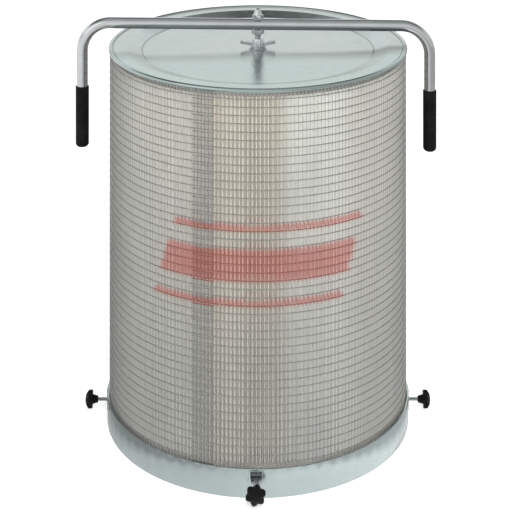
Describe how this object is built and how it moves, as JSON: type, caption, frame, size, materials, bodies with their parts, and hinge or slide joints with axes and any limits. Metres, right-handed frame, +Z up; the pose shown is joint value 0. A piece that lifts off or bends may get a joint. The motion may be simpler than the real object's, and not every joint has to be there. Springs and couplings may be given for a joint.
{
  "type": "canister filter for a dust collector",
  "caption": "Pleated canister filter in a wire guard, with a pressed cap, a bottom ring with star-knob clamps and a two-handed crank that turns cleaning flappers inside.",
  "frame": {"origin": "centre of the clamp band's lower edge, on the canister's axis", "axes": "+Z up along the canister's axis and the shaft, -Y towards the front clamp screw, +X to the right"},
  "size_m": [0.612, 0.5851, 0.6856],
  "materials": {
    "galvanised_sheet": "galvanised sheet with a fine spangle, semi-bright",
    "potting_resin": "cast resin, dull",
    "filter_cloth": "off-white spun filter cloth",
    "guard_wire": "galvanised welded wire, dull bright",
    "gasket_foam": "closed-cell foam, matt",
    "zinc_hardware": "bright zinc plate",
    "bright_steel": "turned bright steel",
    "bush_nylon": "natural nylon",
    "chrome_tube": "bright chrome plate on tube",
    "chrome_hardware": "bright nickel-chrome plate",
    "grip_rubber": "moulded black rubber, fine grain",
    "flapper_rubber": "black sheet rubber, cloth-marked",
    "knob_plastic": "moulded black plastic, fine spark texture"
  },
  "bodies": {
    "canister": {"top_cap": "galvanised_sheet", "top_potting": "potting_resin", "pleated_filter": "filter_cloth", "bottom_potting": "potting_resin", "wire_guard": "guard_wire", "clamp_band": "galvanised_sheet", "bottom_channel": "galvanised_sheet", "ring_gasket": "gasket_foam", "clamp_plates": "galvanised_sheet", "rivet_nuts": "zinc_hardware", "top_bush": "bright_steel", "bush_locknut": "zinc_hardware", "bottom_spider": "galvanised_sheet", "spider_rivets": "zinc_hardware", "lower_bush": "bush_nylon"},
    "crank": {"cleaning_shaft": "bright_steel", "handle_tube": "chrome_tube", "left_grip": "grip_rubber", "right_grip": "grip_rubber", "acorn_nut": "chrome_hardware", "jam_nut": "zinc_hardware", "upper_paddle_arm": "galvanised_sheet", "lower_paddle_arm": "galvanised_sheet", "left_blade_strip": "galvanised_sheet", "right_blade_strip": "galvanised_sheet", "left_flapper": "flapper_rubber", "right_flapper": "flapper_rubber", "left_clamp_bar": "galvanised_sheet", "right_clamp_bar": "galvanised_sheet", "blade_screws": "zinc_hardware", "hub_set_screws": "zinc_hardware", "shaft_collar": "zinc_hardware", "retaining_clip": "zinc_hardware"},
    "nut_washer": {"nut_washer": "zinc_hardware"},
    "wing_nut": {"wing_nut": "chrome_hardware"},
    "front_clamp_stud": {"front_clamp_stud": "zinc_hardware"},
    "front_star_knob": {"front_star_knob": "knob_plastic"},
    "right_clamp_stud": {"right_clamp_stud": "zinc_hardware"},
    "right_star_knob": {"right_star_knob": "knob_plastic"},
    "back_clamp_stud": {"back_clamp_stud": "zinc_hardware"},
    "back_star_knob": {"back_star_knob": "knob_plastic"},
    "left_clamp_stud": {"left_clamp_stud": "zinc_hardware"},
    "left_star_knob": {"left_star_knob": "knob_plastic"}
  },
  "joints": [
    {"name": "crank_turn", "type": "hinge", "parent": "canister", "child": "crank", "pos_m": [0, 0, 0.6], "axis": [0, 0, 1], "continuous": true},
    {"name": "wing_nut_rise", "type": "slide", "parent": "crank", "child": "nut_washer", "axis": [0, 0, 1], "range_m": [0, 0.006]},
    {"name": "wing_nut_turn", "type": "hinge", "parent": "nut_washer", "child": "wing_nut", "pos_m": [0, 0, 0.614], "axis": [0, 0, 1], "range_deg": [0, 1234]},
    {"name": "front_screw_advance", "type": "slide", "parent": "canister", "child": "front_clamp_stud", "axis": [0.014, 0.9999, 0], "range_m": [0, 0.008]},
    {"name": "front_knob_turn", "type": "hinge", "parent": "front_clamp_stud", "child": "front_star_knob", "pos_m": [-0.00355, -0.25398, 0.0215], "axis": [0.014, 0.9999, 0], "range_deg": [0, 2879]},
    {"name": "right_screw_advance", "type": "slide", "parent": "canister", "child": "right_clamp_stud", "axis": [-1, 0, 0], "range_m": [0, 0.008]},
    {"name": "right_knob_turn", "type": "hinge", "parent": "right_clamp_stud", "child": "right_star_knob", "pos_m": [0.254, 0, 0.0215], "axis": [-1, 0, 0], "range_deg": [0, 2879]},
    {"name": "back_screw_advance", "type": "slide", "parent": "canister", "child": "back_clamp_stud", "axis": [0, -1, 0], "range_m": [0, 0.008]},
    {"name": "back_knob_turn", "type": "hinge", "parent": "back_clamp_stud", "child": "back_star_knob", "pos_m": [0, 0.254, 0.0215], "axis": [0, -1, 0], "range_deg": [0, 2879]},
    {"name": "left_screw_advance", "type": "slide", "parent": "canister", "child": "left_clamp_stud", "axis": [1, 0, 0], "range_m": [0, 0.008]},
    {"name": "left_knob_turn", "type": "hinge", "parent": "left_clamp_stud", "child": "left_star_knob", "pos_m": [-0.254, 0, 0.0215], "axis": [1, 0, 0], "range_deg": [0, 2879]}
  ],
  "couplings": [
    {"joint": "wing_nut_rise", "follows": "wing_nut_turn", "m_per_rad": 0.00027852},
    {"joint": "front_screw_advance", "follows": "front_knob_turn", "m_per_rad": 0.00015915},
    {"joint": "right_screw_advance", "follows": "right_knob_turn", "m_per_rad": 0.00015915},
    {"joint": "back_screw_advance", "follows": "back_knob_turn", "m_per_rad": 0.00015915},
    {"joint": "left_screw_advance", "follows": "left_knob_turn", "m_per_rad": 0.00015915}
  ]
}
